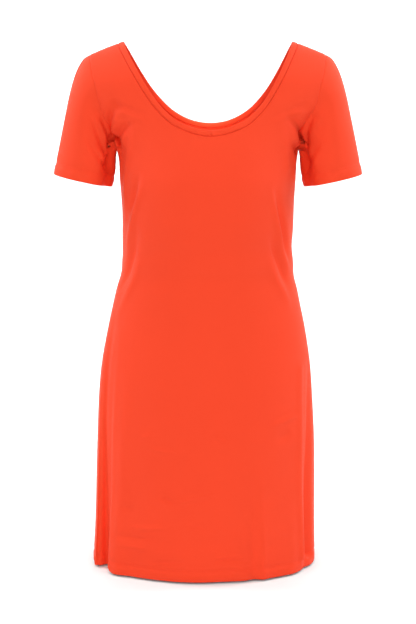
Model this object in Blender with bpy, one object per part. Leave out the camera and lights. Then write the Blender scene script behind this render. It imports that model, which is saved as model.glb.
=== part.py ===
"""A short-sleeved jersey dress with a deep scoop neck, filled out as when worn, with nobody in it.

Metres, degrees, +Z up. The front faces -Y and +X is the wearer's left. The origin lies midway
between the shoulders, level with the neck ends of the shoulder seams.

The cloth of the body is one surface, reached by two numbers: an azimuth round the body, 0 at the
front, 90 at the wearer's left side and 180 at the back, and a reach, the way down the cloth from
the shoulder seams. Every piece is a wall on that surface or on a sleeve, cut off at its seams.
"""

import math
from collections import namedtuple

import bmesh
import bpy
import numpy as np
from mathutils import Vector

# Cloth and seams
CLOTH = 0.0015  # one layer of jersey
SEAM_GAP = 0.0003  # between two pieces at a seam
TURN_UP = 0.020  # depth of the hems at skirt and sleeves
TURN_UP_LAYERS = 1.8  # layers of cloth pressed together there
TURN_UP_STEP = 0.0008  # height over which the inside steps from one layer to the hem
BINDING_WIDTH = 0.009
BINDING_THICKNESS = 0.0026

# Body: the shoulder line, the hem and the section between them
NECK_HALF_WIDTH = 0.139  # at the neck end of the shoulder seam
SHOULDER_ROLL = 0.070  # height over which the cloth turns down from the shoulder seam
SHOULDER_FALL = 1.05  # how fast the shoulder falls away outwards, per metre
UNDERARM_HEIGHT = -0.176
HEM_HEIGHT = -0.882
# Half widths to the wearer's right and left, depths to front and back, and the power of the oval
# (2 is an ellipse, more is squarer), by height. Above the underarm the widths reach into the
# sleeve and only set how the cloth rounds towards the armhole.
Section = namedtuple("Section", "height right left front back power")
SECTIONS = (
    Section(0.000, 0.242, 0.242, 0.076, 0.082, 2.2),
    Section(-0.035, 0.233, 0.233, 0.080, 0.084, 2.2),
    Section(-0.070, 0.218, 0.218, 0.087, 0.087, 2.2),
    Section(-0.105, 0.197, 0.197, 0.094, 0.091, 2.2),
    Section(-0.140, 0.170, 0.170, 0.102, 0.094, 2.2),
    Section(-0.176, 0.151, 0.151, 0.112, 0.096, 2.2),
    Section(-0.224, 0.147, 0.146, 0.121, 0.096, 2.2),
    Section(-0.284, 0.144, 0.143, 0.119, 0.093, 2.2),
    Section(-0.345, 0.1465, 0.1425, 0.110, 0.088, 2.2),
    Section(-0.386, 0.151, 0.147, 0.105, 0.086, 2.2),
    Section(-0.427, 0.160, 0.1545, 0.103, 0.088, 2.15),
    Section(-0.468, 0.169, 0.1635, 0.104, 0.095, 2.1),
    Section(-0.530, 0.1805, 0.1735, 0.109, 0.108, 2.1),
    Section(-0.594, 0.187, 0.179, 0.114, 0.118, 2.05),
    Section(-0.657, 0.190, 0.1825, 0.117, 0.121, 2.05),
    Section(-0.740, 0.193, 0.184, 0.120, 0.122, 2.0),
    Section(-0.820, 0.196, 0.185, 0.124, 0.123, 2.0),
    Section(-0.882, 0.1995, 0.186, 0.126, 0.124, 2.0),
)

# The edge of the neck opening, seen from the front: half width and height
NeckPoint = namedtuple("NeckPoint", "half_width height")
FRONT_NECK = (
    NeckPoint(NECK_HALF_WIDTH, 0.000),
    NeckPoint(0.1175, -0.040),
    NeckPoint(0.0985, -0.074),
    NeckPoint(0.0785, -0.102),
    NeckPoint(0.0500, -0.1265),
    NeckPoint(0.0000, -0.140),
)
BACK_NECK = (
    NeckPoint(NECK_HALF_WIDTH, 0.000),
    NeckPoint(0.1175, -0.040),
    NeckPoint(0.0965, -0.074),
    NeckPoint(0.0720, -0.102),
    NeckPoint(0.0500, -0.118),
    NeckPoint(0.0000, -0.130),
)
NECK_SKEW = 0.0047  # how far its lowest points lie towards the wearer's left

# The armhole seam, from the shoulder to the underarm: height before the shoulder's fall, and
# azimuth from the middle of the front or of the back
ArmholePoint = namedtuple("ArmholePoint", "height azimuth")
ARMHOLE = (
    ArmholePoint(0.000, 75.7),
    ArmholePoint(-0.034, 74.8),
    ArmholePoint(-0.071, 73.7),
    ArmholePoint(-0.104, 74.2),
    ArmholePoint(-0.135, 76.5),
    ArmholePoint(-0.160, 81.0),
    ArmholePoint(UNDERARM_HEIGHT, 90.0),
)

# Folds of the body's cloth, ridges positive and troughs negative: each runs from one azimuth and
# height to another and dies away over its half width
Fold = namedtuple("Fold", "azimuth_1 height_1 depth_1 azimuth_2 height_2 depth_2 half_width")
FOLDS = (
    # the deep one down the wearer's right side of the skirt, its ridge and the trough behind it
    Fold(-61.0, -0.500, 0.0000, -61.5, -0.900, 0.0085, 0.014),
    Fold(-70.0, -0.480, 0.0000, -72.0, -0.900, -0.0075, 0.009),
    # the softer one down the left side
    Fold(66.0, -0.600, 0.0000, 60.0, -0.900, 0.0030, 0.014),
    Fold(76.0, -0.560, 0.0000, 72.0, -0.900, -0.0045, 0.010),
    # shallow waves of the hem, in front and behind
    Fold(12.0, -0.760, 0.0000, 12.0, -0.900, -0.0030, 0.030),
    Fold(-20.0, -0.740, 0.0000, -20.0, -0.900, 0.0020, 0.035),
    Fold(150.0, -0.560, 0.0000, 146.0, -0.900, 0.0055, 0.022),
    Fold(163.0, -0.600, 0.0000, 161.0, -0.900, -0.0045, 0.020),
    Fold(-140.0, -0.620, 0.0000, -136.0, -0.900, 0.0050, 0.024),
    Fold(-156.0, -0.560, 0.0000, -153.0, -0.900, -0.0040, 0.020),
    # the hollow of the back above the seat
    Fold(170.0, -0.330, -0.0020, -160.0, -0.350, -0.0020, 0.020),
    Fold(150.0, -0.385, -0.0025, -150.0, -0.375, -0.0030, 0.018),
    # drag lines from the underarms, in front and behind
    Fold(-79.0, -0.120, -0.0030, -73.0, -0.165, -0.0035, 0.007),
    Fold(-78.0, -0.172, 0.0025, -66.0, -0.148, 0.0015, 0.008),
    Fold(-80.0, -0.186, -0.0030, -64.0, -0.158, -0.0010, 0.006),
    Fold(79.0, -0.125, -0.0025, 74.0, -0.165, -0.0030, 0.007),
    Fold(79.0, -0.182, -0.0025, 66.0, -0.160, -0.0010, 0.006),
    Fold(101.0, -0.160, -0.0030, 116.0, -0.140, -0.0010, 0.008),
    Fold(-101.0, -0.165, -0.0030, -117.0, -0.140, -0.0015, 0.008),
)

# Sleeve
CUFF_CENTRE = Vector((0.209, 0.000, -0.2245))
CUFF_RADIUS = 0.050
CUFF_TILT = 12.5  # degrees, outer side up
UNDERARM_LEAN = 22.0  # degrees, how far its cloth leaves the underarm outwards
LEAVING_PULL = 0.50  # how firmly a sleeve keeps the direction in which it leaves its armhole
HANGING_PULL = 1.25  # and the direction in which it hangs at the cuff

# Folds of a sleeve: turn is the share of the way round, 0 outside, 0.25 in front and 0.5 at the
# underarm, and along is the share of the way from the armhole to the hem
SleeveFold = namedtuple("SleeveFold", "turn_1 along_1 turn_2 along_2 depth half_width")
SLEEVE_FOLDS = (
    SleeveFold(0.43, 0.05, 0.33, 0.60, -0.0030, 0.009),
    SleeveFold(0.38, 0.02, 0.28, 0.30, 0.0020, 0.008),
    SleeveFold(0.46, 0.45, 0.36, 0.95, -0.0020, 0.009),
    SleeveFold(0.58, 0.05, 0.68, 0.55, -0.0030, 0.010),
    SleeveFold(0.62, 0.02, 0.73, 0.30, 0.0020, 0.009),
)

# Counts of the steps in the walls
NECK_STEPS = 14  # from the middle to a shoulder seam
SHOULDER_STEPS = 3
ARMHOLE_STEPS = 12  # from the shoulder to the underarm
SIDE_STEPS = 20  # from the underarm to the hem's turn-up
SLEEVE_STEPS = 10
EVENING_ROUNDS = 60  # of evening out the steps inside a panel
HEM_CROWDING = 0.40  # how much closer the steps round the skirt lie at its sides


def hermite(start, start_slope, end, end_slope, share):
    """The cubic that leaves start and reaches end with these slopes."""
    square = share * share
    cube = square * share
    return (
        start * (2.0 * cube - 3.0 * square + 1.0)
        + start_slope * (cube - 2.0 * square + share)
        + end * (3.0 * square - 2.0 * cube)
        + end_slope * (cube - square)
    )


def section_value(height, column):
    """A column of SECTIONS at any height, on a smooth curve through its rows."""
    last = len(SECTIONS) - 1
    i = 0
    while i < last - 1 and height < SECTIONS[i + 1].height:
        i += 1
    rows = [SECTIONS[min(last, max(0, i + k))] for k in (-1, 0, 1, 2)]
    values = [getattr(row, column) for row in rows]
    span = rows[2].height - rows[1].height
    slope_in = (values[2] - values[0]) / (rows[2].height - rows[0].height) * span
    slope_out = (values[3] - values[1]) / (rows[3].height - rows[1].height) * span
    share = min(1.0, max(0.0, (height - rows[1].height) / span))
    return hermite(values[1], slope_in, values[2], slope_out, share)


def roll(reach):
    """The height at a reach, and how much of the full depth the cloth has there."""
    turn = reach / SHOULDER_ROLL
    if turn > math.pi / 2:
        return -SHOULDER_ROLL * (1.0 + turn - math.pi / 2), 1.0
    return -SHOULDER_ROLL * (1.0 - math.cos(turn)), math.sin(turn)


def reach_at(height):
    """The reach at which the cloth has come down to a height."""
    if height < -SHOULDER_ROLL:
        return SHOULDER_ROLL * (math.pi / 2 - 1.0) - height
    return SHOULDER_ROLL * math.acos(min(1.0, 1.0 + height / SHOULDER_ROLL))


def shoulder_fall(x, height):
    """How far the cloth lies below its height because the shoulder falls away."""
    fade = max(0.0, 1.0 - height / UNDERARM_HEIGHT) ** 2
    return SHOULDER_FALL * (x * x - NECK_HALF_WIDTH**2) * fade


def section_radius(azimuth, height):
    """The distance from the body's upright axis to its full section."""
    angle = math.radians(azimuth)
    width = section_value(height, "left" if math.sin(angle) > 0.0 else "right")
    depth = section_value(height, "front" if math.cos(angle) > 0.0 else "back")
    power = section_value(height, "power")
    across = abs(math.sin(angle) / width) ** power
    along = abs(math.cos(angle) / depth) ** power
    return (across + along) ** (-1.0 / power)


def fold_depth(azimuth, height, radius):
    """How far the folds lift the body's cloth at a place."""
    lift = 0.0
    for fold in FOLDS:
        middle = (fold.azimuth_1 + fold.azimuth_2) / 2.0
        nearest = azimuth + 360.0 * round((middle - azimuth) / 360.0)
        girth = math.radians(1.0) * radius
        start = Vector((fold.azimuth_1 * girth, fold.height_1))
        run = Vector((fold.azimuth_2 * girth, fold.height_2)) - start
        here = Vector((nearest * girth, height)) - start
        share = min(1.0, max(0.0, here.dot(run) / run.length_squared))
        depth = fold.depth_1 + (fold.depth_2 - fold.depth_1) * share
        lift += depth * math.exp(-((here - run * share).length / fold.half_width) ** 2)
    return lift


def body_point(azimuth, reach):
    """A point of the outside of the body's cloth."""
    height, share = roll(reach)
    angle = math.radians(azimuth)
    radius = section_radius(azimuth, height)
    radius += fold_depth(azimuth, height, radius)
    x = radius * math.sin(angle)
    y = -radius * math.cos(angle) * share
    return Vector((x, y, height - shoulder_fall(x, height)))


def body_normal(azimuth, reach):
    """The outward direction of the body's cloth."""
    step = 0.0005
    turn = math.degrees(step / 0.15)
    round_it = body_point(azimuth + turn, reach) - body_point(azimuth - turn, reach)
    down_it = body_point(azimuth, reach + step) - body_point(azimuth, reach - step)
    return down_it.cross(round_it).normalized()


def place_on_body(x, z, front):
    """The azimuth and reach of the body's point that is seen at x and z from straight ahead."""
    height = z
    for _ in range(30):
        height = min(0.0, z + shoulder_fall(x, height))
    width = section_value(height, "left" if x > 0.0 else "right")
    depth = section_value(height, "front" if front else "back")
    power = section_value(height, "power")
    y = depth * (1.0 - min(1.0, abs(x) / width) ** power) ** (1.0 / power)
    return math.degrees(math.atan2(x, y if front else -y)), reach_at(height)


def smooth_line(places):
    """A smooth line through these places, without the first and last, which only guide it."""
    fine = 16
    line = []
    for i in range(1, len(places) - 2):
        before, start, end, after = (Vector(place) for place in places[i - 1 : i + 3])
        first, middle, last = (start - before).length, (end - start).length, (after - end).length
        slope_in = (end - before) * middle / (first + middle)
        slope_out = (after - start) * middle / (middle + last)
        line += [hermite(start, slope_in, end, slope_out, k / fine) for k in range(fine)]
    line.append(Vector(places[-2]))
    return line


def spaced(line, count, crowding=0.0):
    """Places at count steps along a line on the body, equal ones or shorter at its ends."""
    points = [body_point(*place) for place in line]
    lengths = [0.0]
    for point, following in zip(points, points[1:]):
        lengths.append(lengths[-1] + (following - point).length)
    places = []
    for k in range(count + 1):
        share = k / count
        share -= crowding * math.sin(2.0 * math.pi * share) / (2.0 * math.pi)
        wanted = share * lengths[-1]
        i = 0
        while i < len(lengths) - 2 and lengths[i + 1] < wanted:
            i += 1
        part = (wanted - lengths[i]) / (lengths[i + 1] - lengths[i])
        places.append(line[i].lerp(line[i + 1], part))
    return places


def moved(place, way):
    """The place that lies a short way off along the cloth."""
    azimuth, reach = place
    step = 0.0005
    turn = math.degrees(step / 0.15)
    round_it = (body_point(azimuth + turn, reach) - body_point(azimuth - turn, reach)) / (2 * turn)
    down_it = (body_point(azimuth, reach + step) - body_point(azimuth, reach - step)) / (2 * step)
    a, b, c = round_it.length_squared, round_it.dot(down_it), down_it.length_squared
    p, q = round_it.dot(way), down_it.dot(way)
    spread = a * c - b * b
    return Vector((azimuth + (c * p - b * q) / spread, reach + (a * q - b * p) / spread))


def mirrored(place, front):
    """The same place on the wearer's other side."""
    return Vector(((0.0 if front else 360.0) - place[0], place[1]))


def neck_half(front):
    """Places on the neck edge, from its middle to the shoulder seam on the wearer's left."""
    rows = [Vector(row) for row in reversed(FRONT_NECK if front else BACK_NECK)]
    across_middle = Vector((-rows[1].x, rows[1].y))
    straight_on = rows[-1] * 2.0 - rows[-2]
    line = smooth_line([across_middle, *rows, straight_on])
    return spaced([Vector(place_on_body(point.x, point.y, front)) for point in line], NECK_STEPS)


def neck_ring():
    """Places round the whole neck edge, from the middle of the front by the wearer's left."""
    front, back = neck_half(True), neck_half(False)
    left = front + back[-2::-1]
    right = [mirrored(place, False) for place in back[1:]]
    right += [mirrored(place, True) for place in front[-2:0:-1]]
    ring = []
    for place in left + right:
        share = body_point(*place).z / FRONT_NECK[-1].height
        ring.append(moved(place, Vector((NECK_SKEW * max(0.0, share), 0.0, 0.0))))
    return ring


def beside_neck(distance):
    """Places round the neck at a distance from its edge."""
    ring = neck_ring()
    points = [body_point(*place) for place in ring]
    middle = Vector((0.0, 0.0, FRONT_NECK[-1].height / 3.0))
    places = []
    for k, place in enumerate(ring):
        along = points[(k + 1) % len(ring)] - points[k - 1]
        away = along.cross(body_normal(*place)).normalized()
        if away.dot(points[k] - middle) < 0.0:
            away.negate()
        if k in (NECK_STEPS, 3 * NECK_STEPS):
            away.y = 0.0
        places.append(moved(place, away * distance))
    return places


def armhole_half(front):
    """Places down the armhole on the wearer's left, from the shoulder to the underarm."""
    places = []
    for row in ARMHOLE:
        azimuth = row.azimuth if front else 180.0 - row.azimuth
        places.append(Vector((azimuth, reach_at(row.height))))
    over_shoulder = (places[1].x, -places[1].y)
    past_underarm = (180.0 - places[-2].x, places[-2].y)
    return spaced(smooth_line([over_shoulder, *places, past_underarm]), ARMHOLE_STEPS)


# Round an armhole: the seam's points, the direction through both pieces' cloth, the way from the
# body's side to the sleeve's, and the way in which the sleeve's cloth leaves
Seam = namedtuple("Seam", "points across outward leaving")


def armhole_seam(hand):
    """The seam round an armhole, hand 1 for the wearer's left and -1 for the right, from the
    shoulder by the front to the underarm and back up behind.
    """
    front, back = armhole_half(True), armhole_half(False)
    if hand < 0:
        front = [mirrored(place, True) for place in front]
        back = [mirrored(place, False) for place in back]
    places = front + back[-2:0:-1]
    points = [body_point(*place) for place in places]
    lean = math.radians(UNDERARM_LEAN)
    hanging = Vector((hand * math.sin(lean), 0.0, -math.cos(lean)))
    across, outward, leaving = [], [], []
    for k, place in enumerate(places):
        along = (points[(k + 1) % len(points)] - points[k - 1]).normalized()
        cloth_out = body_normal(*place)
        straight_on = cloth_out.cross(along).normalized() * hand
        down = 1.0 - abs(k / ARMHOLE_STEPS - 1.0)  # 0 at the shoulder, 1 at the underarm
        leave = straight_on.lerp(hanging, down**2).normalized()
        sleeve_out = along.cross(leave).normalized() * hand
        shared = (cloth_out + sleeve_out).normalized()
        across.append(shared)
        outward.append(shared.cross(along).normalized() * hand)
        leaving.append(leave)
    return Seam(points, across, outward, leaving)


def wall(name, outside, inside, ring, colour):
    """A closed wall between two equal grids of points, rows that may close into rings."""
    mesh = bmesh.new()
    skins = [[[mesh.verts.new(point) for point in row] for row in grid] for grid in (outside, inside)]
    outer, inner = skins
    rows, columns = len(outer), len(outer[0])
    columns_joined = columns if ring else columns - 1
    for skin in skins:
        for i in range(rows - 1):
            for k in range(columns_joined):
                after = (k + 1) % columns
                mesh.faces.new((skin[i][k], skin[i][after], skin[i + 1][after], skin[i + 1][k]))
    for i in (0, rows - 1):
        for k in range(columns_joined):
            after = (k + 1) % columns
            mesh.faces.new((outer[i][k], outer[i][after], inner[i][after], inner[i][k]))
    if not ring:
        for k in (0, columns - 1):
            for i in range(rows - 1):
                mesh.faces.new((outer[i][k], outer[i + 1][k], inner[i + 1][k], inner[i][k]))
    bmesh.ops.recalc_face_normals(mesh, faces=mesh.faces)
    data = bpy.data.meshes.new(name)
    mesh.to_mesh(data)
    mesh.free()
    data.shade_smooth()
    data.set_sharp_from_angle(angle=math.radians(50.0))
    piece = bpy.data.objects.new(name, data)
    data.materials.append(jersey(name, colour))
    bpy.context.scene.collection.objects.link(piece)
    return piece


def jersey(name, colour):
    """Matt orange-red jersey."""
    material = bpy.data.materials.new(name)
    material.use_nodes = True
    shader = material.node_tree.nodes["Principled BSDF"]
    shader.inputs["Base Color"].default_value = (*colour, 1.0)
    shader.inputs["Roughness"].default_value = 0.75
    shader.inputs["Metallic"].default_value = 0.0
    return material


def evened_out(rows):
    """The same grid of places, with its inner ones moved so that no step of it folds or pinches."""
    degree = math.radians(1.0) * SECTIONS[-1].front
    grid = np.array([[tuple(place) for place in row] for row in rows]) * (degree, 1.0)
    for _ in range(EVENING_ROUNDS):
        left, right = grid[1:-1, :-2], grid[1:-1, 2:]
        above, below = grid[:-2, 1:-1], grid[2:, 1:-1]
        across, down = (right - left) / 2.0, (below - above) / 2.0
        twist = (grid[2:, 2:] - grid[2:, :-2] - grid[:-2, 2:] + grid[:-2, :-2]) / 4.0
        a = (down * down).sum(2, keepdims=True)
        b = (across * down).sum(2, keepdims=True)
        c = (across * across).sum(2, keepdims=True)
        grid[1:-1, 1:-1] = (a * (left + right) + c * (above + below) - 2.0 * b * twist) / (2.0 * (a + c))
    return [[Vector(place) for place in row] for row in (grid / (degree, 1.0)).tolist()]


def panel_places(front):
    """The rows of places that cover a panel, from its shoulders and neck edge to its hem."""
    ring = beside_neck(BINDING_WIDTH + SEAM_GAP)
    turn = 1 if front else -1
    edge = [ring[turn * k - (0 if front else 2 * NECK_STEPS)] for k in range(-NECK_STEPS, NECK_STEPS + 1)]
    corner = body_point(*edge[-1])
    edge[-1] = Vector((place_on_body(corner.x, corner.z, front)[0], 0.0))
    edge[0] = mirrored(edge[-1], front)
    armhole = armhole_half(front)
    shoulder = spaced([edge[-1].lerp(armhole[0], k / 8.0) for k in range(9)], SHOULDER_STEPS)
    top = [mirrored(place, front) for place in shoulder[:0:-1]] + edge + shoulder[1:]
    turn_up_reach = reach_at(HEM_HEIGHT + TURN_UP)
    side_foot = Vector((90.0, turn_up_reach))
    side = [armhole[-1].lerp(side_foot, k / 40.0) for k in range(41)]
    half_side = armhole + spaced(side, SIDE_STEPS)[1:]
    other_side = [mirrored(place, front) for place in half_side]
    foot = [mirrored(side_foot, front).lerp(side_foot, k / 60.0) for k in range(61)]
    bottom = spaced(foot, len(top) - 1, HEM_CROWDING)
    rows = []
    for i in range(len(half_side)):
        v = i / (len(half_side) - 1)
        row = []
        for k in range(len(top)):
            u = k / (len(top) - 1)
            between_sides = other_side[i].lerp(half_side[i], u)
            between_ends = top[k].lerp(bottom[k], v)
            between_corners = top[0].lerp(top[-1], u).lerp(bottom[0].lerp(bottom[-1], u), v)
            row.append(between_sides + between_ends - between_corners)
        rows.append(row)
    rows = evened_out(rows)
    for height in (TURN_UP - TURN_UP_STEP, TURN_UP / 2.0, 0.0):
        hem_reach = reach_at(HEM_HEIGHT + height)
        rows.append([Vector((place.x, hem_reach)) for place in bottom])
    return rows


def panel(name, front, colour):
    """The front or the back, in one piece from the shoulders to the hem."""
    places = panel_places(front)
    outside = [[body_point(*place) for place in row] for row in places]
    across = [[body_normal(*place) for place in row] for row in places]
    last = len(places[0]) - 1
    side_of_seam = -SEAM_GAP / 2.0 if front else SEAM_GAP / 2.0
    for hand, column in ((1, last), (-1, 0)):
        seam = armhole_seam(hand)
        for i in range(ARMHOLE_STEPS + 1):
            k = i if front else (2 * ARMHOLE_STEPS - i) % (2 * ARMHOLE_STEPS)
            outside[i][column] = seam.points[k] - seam.outward[k] * (SEAM_GAP / 2.0)
            across[i][column] = seam.across[k]
        for i in range(ARMHOLE_STEPS + 1, len(places)):
            across[i][column].y = 0.0
            across[i][column].normalize()
        for i in range(ARMHOLE_STEPS, len(places)):
            outside[i][column].y += side_of_seam
        for k in range(SHOULDER_STEPS + 1):
            outside[0][abs(column - k)].y += side_of_seam
            across[0][abs(column - k)].y = 0.0
            across[0][abs(column - k)].normalize()
    first_turn_up_row = len(places) - 3
    inside = []
    for i, row in enumerate(outside):
        thickness = CLOTH * (TURN_UP_LAYERS if i >= first_turn_up_row else 1.0)
        inside.append([point - out * thickness for point, out in zip(row, across[i])])
    return wall(name, outside, inside, False, colour)


def sleeve_lift(turn, along, length):
    """How far a sleeve's folds lift its cloth at a place on a line of this length down it."""
    lift = 0.0
    girth = 2.0 * math.pi * CUFF_RADIUS
    for fold in SLEEVE_FOLDS:
        start = Vector((fold.turn_1 * girth, fold.along_1 * length))
        run = Vector((fold.turn_2 * girth, fold.along_2 * length)) - start
        here = Vector((turn * girth, along * length)) - start
        share = min(1.0, max(0.0, here.dot(run) / run.length_squared))
        lift += fold.depth * math.exp(-((here - run * share).length / fold.half_width) ** 2)
    return lift * (1.0 - (2.0 * along - 1.0) ** 4)


def sleeve(name, hand, colour):
    """A short sleeve that hangs from its armhole, open at the cuff."""
    seam = armhole_seam(hand)
    count = len(seam.points)
    tilt = math.radians(CUFF_TILT)
    outer_side = Vector((hand * math.cos(tilt), 0.0, math.sin(tilt)))
    down = Vector((hand * math.sin(tilt), 0.0, -math.cos(tilt)))
    cuff_centre = Vector((hand * CUFF_CENTRE.x, CUFF_CENTRE.y, CUFF_CENTRE.z))
    cuff = []
    for k in range(count):
        angle = 2.0 * math.pi * k / count
        spoke = outer_side * math.cos(angle) - Vector((0.0, math.sin(angle), 0.0))
        cuff.append(cuff_centre + spoke * CUFF_RADIUS)
    rows = []
    for i in range(SLEEVE_STEPS + 1):
        along = i / SLEEVE_STEPS
        row = []
        for k in range(count):
            start = seam.points[k] + seam.outward[k] * (SEAM_GAP / 2.0)
            end = cuff[k] - down * TURN_UP
            pull = (end - start).length
            leaving = seam.leaving[k] * pull * LEAVING_PULL
            row.append(hermite(start, leaving, end, down * pull * HANGING_PULL, along))
        rows.append(row)
    for rest in (TURN_UP - TURN_UP_STEP, TURN_UP / 2.0, 0.0):
        rows.append([point - down * rest for point in cuff])
    across = []
    for i, row in enumerate(rows):
        above, below = rows[max(0, i - 1)], rows[min(len(rows) - 1, i + 1)]
        out = []
        for k in range(count):
            round_it = row[(k + 1) % count] - row[k - 1]
            out.append(round_it.cross(below[k] - above[k]).normalized() * hand)
        across.append(out)
    across[0] = seam.across
    outside, inside = [], []
    for i, row in enumerate(rows):
        along = min(1.0, i / SLEEVE_STEPS)
        thickness = CLOTH * (TURN_UP_LAYERS if i > SLEEVE_STEPS else 1.0)
        outside_row = []
        for k, point in enumerate(row):
            lift = sleeve_lift(k / count, along, (cuff[k] - seam.points[k]).length)
            outside_row.append(point + across[i][k] * lift)
        outside.append(outside_row)
        inside.append([p - n * thickness for p, n in zip(outside_row, across[i])])
    return wall(name, outside, inside, True, colour)


def binding(name, colour):
    """The folded strip round the neck edge, raised a little along its middle."""
    outside, inside = [], []
    bulge = (BINDING_THICKNESS - CLOTH) / 2.0
    for share in (0.0, 0.18, 0.82, 1.0):
        places = beside_neck(BINDING_WIDTH * share)
        rise = bulge * (1.0 - (2.0 * share - 1.0) ** 4)
        points = [body_point(*place) for place in places]
        across = [body_normal(*place) for place in places]
        outside.append([p + n * rise for p, n in zip(points, across)])
        inside.append([p - n * (CLOTH + rise) for p, n in zip(points, across)])
    return wall(name, outside, inside, True, colour)


def clear_scene():
    """Start from an empty scene."""
    for item in list(bpy.data.objects):
        bpy.data.objects.remove(item)


ORANGE_RED = (0.96, 0.075, 0.025)

clear_scene()
panel("front_panel", True, ORANGE_RED)
panel("back_panel", False, ORANGE_RED)
sleeve("left_sleeve", 1, ORANGE_RED)
sleeve("right_sleeve", -1, ORANGE_RED)
binding("neck_binding", ORANGE_RED)
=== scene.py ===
import math
from collections import namedtuple

import bmesh
import bpy
import numpy as np
from mathutils import Matrix, Vector


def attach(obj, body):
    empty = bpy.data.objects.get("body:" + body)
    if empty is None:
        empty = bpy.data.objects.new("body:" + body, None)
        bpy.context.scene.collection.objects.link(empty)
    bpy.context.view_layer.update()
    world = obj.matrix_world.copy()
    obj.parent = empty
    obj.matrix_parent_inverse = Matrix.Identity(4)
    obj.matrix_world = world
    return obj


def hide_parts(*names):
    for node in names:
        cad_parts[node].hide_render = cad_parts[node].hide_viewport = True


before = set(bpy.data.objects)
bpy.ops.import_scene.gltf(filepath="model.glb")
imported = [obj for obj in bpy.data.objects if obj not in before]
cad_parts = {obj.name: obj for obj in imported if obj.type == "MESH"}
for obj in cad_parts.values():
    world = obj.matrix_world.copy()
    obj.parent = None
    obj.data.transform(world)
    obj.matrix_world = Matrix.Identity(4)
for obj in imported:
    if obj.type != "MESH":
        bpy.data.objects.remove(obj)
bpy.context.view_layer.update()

# ----------------------------------------
# The jersey that every piece is cut from: a fine plain knit of cotton with a little elastane,
# dyed orange-red. Its face is smooth and matt, upright ribs of small V stitches, and it turns
# paler where it is seen at a slant, because the fuzz on it catches the light. Its colour is
# darkened in the hollows of the knit, which is painted shade.
JERSEY_COLOUR = (0.87, 0.043, 0.0120)
# a darker tone of the dye, which also serves as painted shade in the knit's hollows
DARKER_DYE_AND_HOLLOW_SHADE_COLOUR = (0.81, 0.033, 0.0088)
SHEEN_COLOUR = (1.0, 0.52, 0.34)
GLOSS_COLOUR = (1.0, 0.80, 0.45)
RIB = 0.00085  # one upright rib of the knit
ROW = 0.00065  # one row of its stitches
V_SLANT = 0.9  # how far the legs of a stitch run up, in rows
KNIT_DEPTH = 0.00009
STITCH_SHARE = 0.3  # of the ribs' relief that comes from their single stitches
FUZZ_SIZE = 0.0011
FUZZ_DEPTH = 0.00006
CLOUD_SIZE = 0.07  # of the dye's wide faint patches
MOTTLE_SIZE = 0.006  # and of its small ones
CLOUD_SHARE = 0.35  # how much the dye's patches change the colour, and how much painted shade darkens the knit's hollows
MOTTLE_SHARE = 0.25
# painted shade in the knit's hollows, where its relief is low
HOLLOW_SHADE_SHARE = 0.25


class Finish:
    """A material that is put together from nodes."""

    def __init__(self, name):
        self.material = bpy.data.materials.new(name)
        self.material.use_nodes = True
        self.tree = self.material.node_tree
        self.shader = self.tree.nodes["Principled BSDF"]

    def add(self, kind, **inputs):
        """A node whose inputs are numbers or other nodes' outputs."""
        return self.fill(self.tree.nodes.new(kind), **inputs)

    def fill(self, node, **inputs):
        """Numbers or other nodes' outputs go into a node's inputs."""
        for name, value in inputs.items():
            self.feed(node.inputs[name.replace("_", " ")], value)
        return node

    def feed(self, socket, value):
        """A number or another node's output goes into a socket."""
        if isinstance(value, bpy.types.NodeSocket):
            self.tree.links.new(value, socket)
        else:
            socket.default_value = value

    def calc(self, operation, first, second=0.0, third=0.0):
        """The result of a step of arithmetic."""
        node = self.tree.nodes.new("ShaderNodeMath")
        node.operation = operation
        for socket, value in zip(node.inputs, (first, second, third)):
            self.feed(socket, value)
        return node.outputs[0]

    def blend(self, share, first, second):
        """A colour between two others."""
        node = self.tree.nodes.new("ShaderNodeMix")
        node.data_type = "RGBA"
        self.feed(node.inputs[0], share)
        for socket, value in zip((node.inputs[6], node.inputs[7]), (first, second)):
            self.feed(socket, (*value, 1.0) if isinstance(value, tuple) else value)
        return node.outputs[2]

    def noise(self, size, detail):
        """An even cloudy pattern, 0 to 1, whose patches have this size in metres."""
        place = self.add("ShaderNodeTexCoord").outputs["Object"]
        noise = self.add("ShaderNodeTexNoise", Vector=place, Scale=1.0 / size, Detail=detail)
        return noise.outputs[0]


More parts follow.
